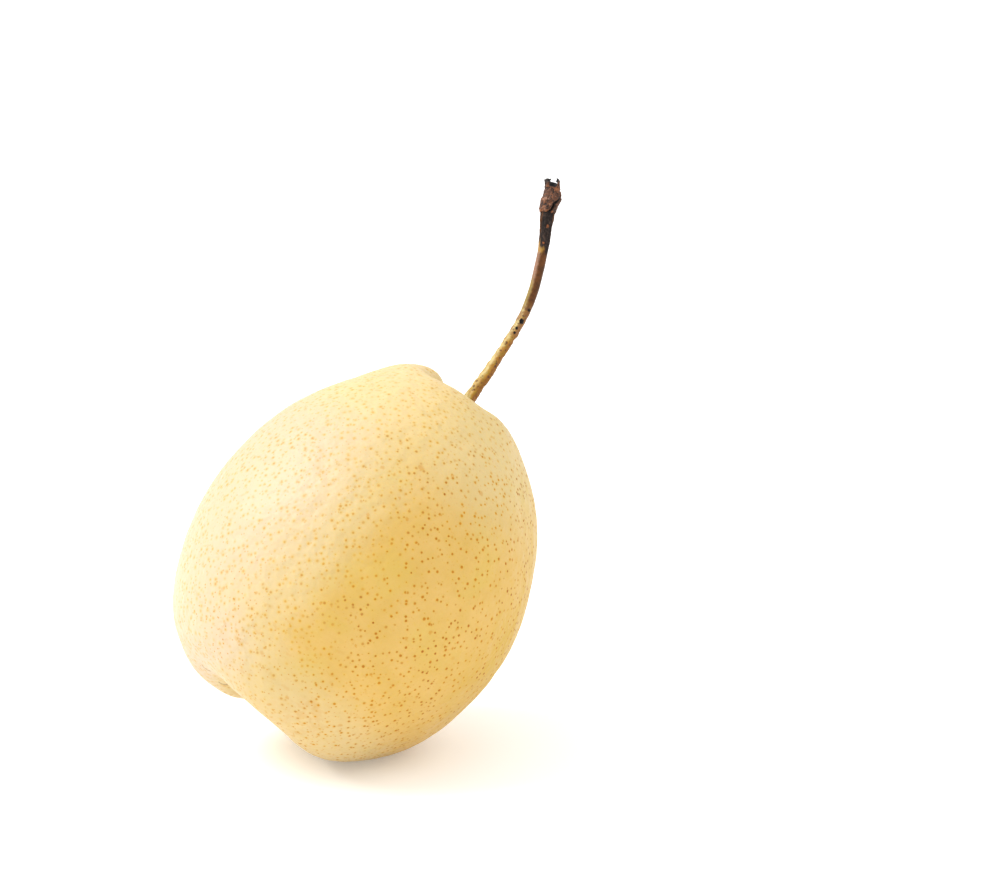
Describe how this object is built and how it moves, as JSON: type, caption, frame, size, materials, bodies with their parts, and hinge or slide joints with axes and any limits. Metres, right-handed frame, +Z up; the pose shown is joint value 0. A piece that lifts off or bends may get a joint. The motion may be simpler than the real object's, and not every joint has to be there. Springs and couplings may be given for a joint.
{
  "type": "pear",
  "caption": "Pale yellow round-bellied pear with a long curved woody stalk, resting tilted on a small flat spot.",
  "frame": {"origin": "centre of the flat spot that the pear rests on", "axes": "+Z up from the surface that it rests on; the stalk leans towards +X and +Y, and the calyx end faces down towards -X and -Y"},
  "size_m": [0.0839, 0.0797, 0.119],
  "materials": {
    "skin": "soft satin, pale yellow with small tan spots",
    "stalk_bark": "satin green-brown twig, darker and rough at the end",
    "dried_calyx": "dry, matt, dark brown"
  },
  "bodies": {
    "root": {"fruit": "skin", "stalk": "stalk_bark", "calyx": "dried_calyx"}
  },
  "joints": []
}
